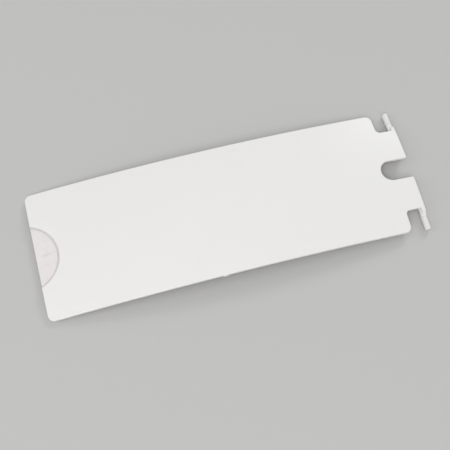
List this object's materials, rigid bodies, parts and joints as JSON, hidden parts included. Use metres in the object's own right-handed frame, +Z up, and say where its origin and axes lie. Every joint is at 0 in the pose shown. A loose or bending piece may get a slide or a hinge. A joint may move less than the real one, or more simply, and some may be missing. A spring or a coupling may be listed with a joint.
{
  "type": "hinged trough lid of a pill counting tray",
  "caption": "Long bowed white plastic lid with a thumb recess at one end and, at the other, hinge lugs with stub pins on which it swings up.",
  "frame": {"origin": "on the surface the lid lies on, below the middle of its length and width", "axes": "+X along the lid from the thumb end to the hinge end, +Y across it, +Z up through its outer face"},
  "size_m": [0.1718, 0.0606, 0.0091],
  "materials": {
    "lid_plastic": "satin white styrene moulding, very slightly warm",
    "pin_plastic": "satin white moulding, a touch warmer than the lid"
  },
  "bodies": {
    "hinge_pins": {"hinge_pin_left": "pin_plastic", "hinge_pin_right": "pin_plastic"},
    "lid": {"lid_panel": "lid_plastic"}
  },
  "joints": [
    {"name": "lid_swing", "type": "hinge", "parent": "hinge_pins", "child": "lid", "pos_m": [0.0844, 0, 0.0015], "axis": [0, 1, 0], "range_deg": [0, 110]}
  ]
}
